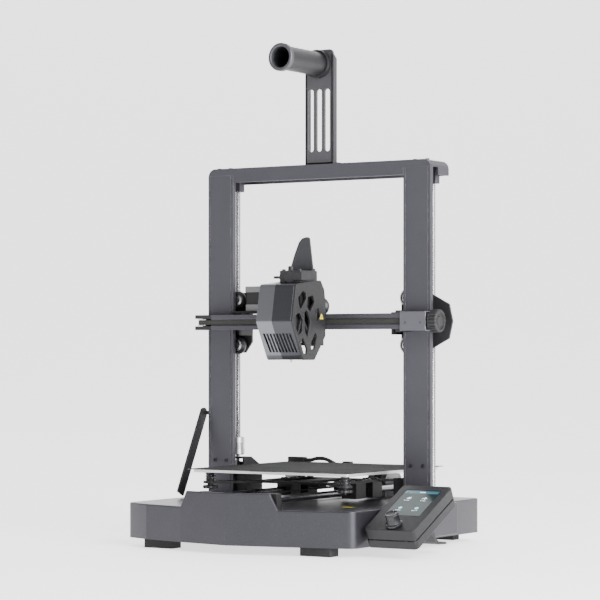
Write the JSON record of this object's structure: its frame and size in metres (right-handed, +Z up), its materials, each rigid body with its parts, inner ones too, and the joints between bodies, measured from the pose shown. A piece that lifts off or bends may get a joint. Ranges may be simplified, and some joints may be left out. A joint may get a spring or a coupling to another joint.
{
  "type": "fdm printer",
  "caption": "Desktop filament 3D printer with a sliding heated bed, portal frame, screw driven gantry, print head, tilted display and spool holder.",
  "frame": {"origin": "on the table under the middle of the printer", "axes": "+X to the right seen from the front, +Y to the back, +Z up; the display and the knob face -Y"},
  "size_m": [0.42, 0.366, 0.645],
  "materials": {
    "frame_metal": "satin dark grey anodised",
    "base_paint": "satin dark grey",
    "sheet_black": "fine matt black",
    "steel": "ground steel",
    "aluminium": "bare",
    "brass": "turned",
    "black_plastic": "moulded, fine grain",
    "grey_plastic": "moulded",
    "cover_metal": "brushed metallic grey",
    "rubber": "soft",
    "wheel_plastic": "hard wheel",
    "screen_glass": "dark glass",
    "flex_coat": "rough coated steel",
    "board_green": "circuit board"
  },
  "bodies": {
    "frame": {"base_housing": "base_paint", "base_plate": "sheet_black", "rubber_feet": "rubber", "left_column": "frame_metal", "right_column": "frame_metal", "top_beam": "frame_metal", "spool_bracket": "grey_plastic", "spool_arm": "black_plastic", "frame_screws": "steel", "brace_bar": "sheet_black", "motor_mounts": "sheet_black", "stepper_motors": "sheet_black", "y_rods": "steel", "rod_clamps": "sheet_black", "y_belt": "rubber", "power_supply": "aluminium", "mainboard": "board_green", "power_socket": "black_plastic", "display_upper_shell": "grey_plastic", "display_lower_shell": "grey_plastic", "display_glass": "screen_glass"},
    "gantry": {"x_profile": "frame_metal", "left_gantry_bracket": "sheet_black", "right_gantry_bracket": "sheet_black", "x_motor": "sheet_black", "x_belt": "rubber", "tensioner_cover": "cover_metal"},
    "print_head": {"carriage_plate": "sheet_black", "extruder_body": "black_plastic", "hotend": "aluminium", "head_cover": "cover_metal", "side_frame": "black_plastic", "probe_body": "black_plastic"},
    "bed": {"y_carriage": "sheet_black", "heated_bed": "aluminium", "bed_cable": "rubber"},
    "build_plate": {"flex_plate": "flex_coat"},
    "rocker": {"power_rocker": "black_plastic"},
    "knob_shaft": {"encoder_shaft": "steel"},
    "knob": {"control_knob": "black_plastic"},
    "left_screw": {"lead_screw_left": "steel"},
    "right_screw": {"lead_screw_right": "steel"},
    "tension_knob": {"tensioner_knob": "black_plastic"},
    "drive_pulley_x": {"x_drive_pulley": "aluminium"},
    "idler_left_x": {"x_idler_left": "aluminium"},
    "idler_right_x": {"x_idler_right": "aluminium"},
    "drive_pulley_y": {"y_drive_pulley": "aluminium"},
    "idler_y": {"y_idler_pulley": "aluminium"},
    "fan_rotor": {"hotend_fan": "black_plastic"},
    "filament_lever": {"extruder_lever": "black_plastic"},
    "level_pin": {"probe_pin": "steel"},
    "body_left_upper_wheel": {"left_upper_wheel": "wheel_plastic"},
    "body_left_lower_wheel": {"left_lower_wheel": "wheel_plastic"},
    "body_left_outer_wheel": {"left_outer_wheel": "wheel_plastic"},
    "body_right_upper_wheel": {"right_upper_wheel": "wheel_plastic"},
    "body_right_lower_wheel": {"right_lower_wheel": "wheel_plastic"},
    "body_right_outer_wheel": {"right_outer_wheel": "wheel_plastic"},
    "body_carriage_left_wheel": {"carriage_left_wheel": "wheel_plastic"},
    "body_carriage_right_wheel": {"carriage_right_wheel": "wheel_plastic"},
    "body_carriage_lower_wheel": {"carriage_lower_wheel": "wheel_plastic"}
  },
  "joints": [
    {"name": "z_travel", "type": "slide", "parent": "frame", "child": "gantry", "axis": [0, 0, 1], "range_m": [-0.136, 0.113]},
    {"name": "x_travel", "type": "slide", "parent": "gantry", "child": "print_head", "axis": [1, 0, 0], "range_m": [-0.114, 0.106]},
    {"name": "y_travel", "type": "slide", "parent": "frame", "child": "bed", "axis": [0, 1, 0], "range_m": [-0.172, 0.048]},
    {"name": "plate_lift", "type": "slide", "parent": "bed", "child": "build_plate", "axis": [0, 0, 1], "range_m": [0, 0.12]},
    {"name": "power_switch", "type": "hinge", "parent": "frame", "child": "rocker", "pos_m": [-0.135, 0.1765, 0.033], "axis": [1, 0, 0], "range_deg": [0, 13]},
    {"name": "encoder_push", "type": "slide", "parent": "frame", "child": "knob_shaft", "axis": [0, 0.4431, -0.8965], "range_m": [0, 0.0005], "stiffness_N_per_m": 2500, "springref_m": -0.0004},
    {"name": "encoder_turn", "type": "hinge", "parent": "knob_shaft", "child": "knob", "pos_m": [0.178, -0.12546, 0.0448], "axis": [0, -0.4431, 0.8965], "continuous": true},
    {"name": "tension_turn", "type": "hinge", "parent": "gantry", "child": "tension_knob", "pos_m": [0.16, 0.007, 0.289], "axis": [1, 0, 0], "continuous": true},
    {"name": "fan_spin", "type": "hinge", "parent": "print_head", "child": "fan_rotor", "pos_m": [-0.0205, -0.059, 0.285], "axis": [0, 1, 0], "continuous": true},
    {"name": "lever_press", "type": "hinge", "parent": "print_head", "child": "filament_lever", "pos_m": [-0.035, -0.035, 0.346], "axis": [0, -1, 0], "range_deg": [0, 8], "stiffness_Nm_per_rad": 0.6, "springref_deg": -5.73},
    {"name": "probe_deploy", "type": "slide", "parent": "print_head", "child": "level_pin", "axis": [0, 0, -1], "range_m": [0, 0.006], "stiffness_N_per_m": 60, "springref_m": -0.001},
    {"name": "left_screw_turn", "type": "hinge", "parent": "frame", "child": "left_screw", "pos_m": [-0.1738, 0.062, 0.2], "axis": [0, 0, 1], "range_deg": [-5086, 6121]},
    {"name": "left_upper_wheel_roll", "type": "hinge", "parent": "gantry", "child": "body_left_upper_wheel", "pos_m": [-0.15405, 0.034, 0.31925], "axis": [0, 1, 0], "range_deg": [-661.66, 796.13]},
    {"name": "left_lower_wheel_roll", "type": "hinge", "parent": "gantry", "child": "body_left_lower_wheel", "pos_m": [-0.15405, 0.034, 0.25875], "axis": [0, 1, 0], "range_deg": [-661.66, 796.13]},
    {"name": "left_outer_wheel_roll", "type": "hinge", "parent": "gantry", "child": "body_left_outer_wheel", "pos_m": [-0.19355, 0.034, 0.289], "axis": [0, 1, 0], "range_deg": [-796.13, 661.66]},
    {"name": "right_screw_turn", "type": "hinge", "parent": "frame", "child": "right_screw", "pos_m": [0.1278, 0.062, 0.2], "axis": [0, 0, 1], "range_deg": [-5086, 6121]},
    {"name": "right_upper_wheel_roll", "type": "hinge", "parent": "gantry", "child": "body_right_upper_wheel", "pos_m": [0.10805, 0.034, 0.31925], "axis": [0, 1, 0], "range_deg": [-796.13, 661.66]},
    {"name": "right_lower_wheel_roll", "type": "hinge", "parent": "gantry", "child": "body_right_lower_wheel", "pos_m": [0.10805, 0.034, 0.25875], "axis": [0, 1, 0], "range_deg": [-796.13, 661.66]},
    {"name": "right_outer_wheel_roll", "type": "hinge", "parent": "gantry", "child": "body_right_outer_wheel", "pos_m": [0.14755, 0.034, 0.289], "axis": [0, 1, 0], "range_deg": [-661.66, 796.13]},
    {"name": "carriage_left_wheel_roll", "type": "hinge", "parent": "print_head", "child": "body_carriage_left_wheel", "pos_m": [-0.034, 0.007, 0.3088], "axis": [0, 1, 0], "range_deg": [-667.5, 620.73]},
    {"name": "carriage_right_wheel_roll", "type": "hinge", "parent": "print_head", "child": "body_carriage_right_wheel", "pos_m": [-0.007, 0.007, 0.3088], "axis": [0, 1, 0], "range_deg": [-667.5, 620.73]},
    {"name": "carriage_lower_wheel_roll", "type": "hinge", "parent": "print_head", "child": "body_carriage_lower_wheel", "pos_m": [-0.0205, 0.007, 0.2692], "axis": [0, 1, 0], "range_deg": [-620.73, 667.5]},
    {"name": "drive_pulley_x_turn", "type": "hinge", "parent": "gantry", "child": "drive_pulley_x", "pos_m": [-0.117, 0.043, 0.289], "axis": [0, 0, 1], "range_deg": [-1027.04, 955.03]},
    {"name": "idler_left_x_turn", "type": "hinge", "parent": "gantry", "child": "idler_left_x", "pos_m": [-0.191, 0.00577, 0.289], "axis": [0, 0, 1], "range_deg": [-1027.04, 955.03]},
    {"name": "idler_right_x_turn", "type": "hinge", "parent": "gantry", "child": "idler_right_x", "pos_m": [0.143, 0.00577, 0.289], "axis": [0, 0, 1], "range_deg": [-1027.04, 955.03]},
    {"name": "drive_pulley_y_turn", "type": "hinge", "parent": "frame", "child": "drive_pulley_y", "pos_m": [-0.023, 0.157, 0.065], "axis": [1, 0, 0], "range_deg": [-433.01, 1549.05]},
    {"name": "idler_y_turn", "type": "hinge", "parent": "frame", "child": "idler_y", "pos_m": [-0.023, -0.147, 0.065], "axis": [1, 0, 0], "range_deg": [-433.01, 1549.05]}
  ],
  "couplings": [
    {"joint": "left_screw_turn", "follows": "z_travel", "rad_per_m": -785.4},
    {"joint": "left_upper_wheel_roll", "follows": "z_travel", "rad_per_m": -102.04},
    {"joint": "left_lower_wheel_roll", "follows": "z_travel", "rad_per_m": -102.04},
    {"joint": "left_outer_wheel_roll", "follows": "z_travel", "rad_per_m": 102.04},
    {"joint": "right_screw_turn", "follows": "z_travel", "rad_per_m": -785.4},
    {"joint": "right_upper_wheel_roll", "follows": "z_travel", "rad_per_m": 102.04},
    {"joint": "right_lower_wheel_roll", "follows": "z_travel", "rad_per_m": 102.04},
    {"joint": "right_outer_wheel_roll", "follows": "z_travel", "rad_per_m": -102.04},
    {"joint": "carriage_left_wheel_roll", "follows": "x_travel", "rad_per_m": 102.04},
    {"joint": "carriage_right_wheel_roll", "follows": "x_travel", "rad_per_m": 102.04},
    {"joint": "carriage_lower_wheel_roll", "follows": "x_travel", "rad_per_m": -102.04},
    {"joint": "drive_pulley_x_turn", "follows": "x_travel", "rad_per_m": 157.09},
    {"joint": "idler_left_x_turn", "follows": "x_travel", "rad_per_m": 157.09},
    {"joint": "idler_right_x_turn", "follows": "x_travel", "rad_per_m": 157.09},
    {"joint": "drive_pulley_y_turn", "follows": "y_travel", "rad_per_m": -157.09},
    {"joint": "idler_y_turn", "follows": "y_travel", "rad_per_m": -157.09}
  ]
}
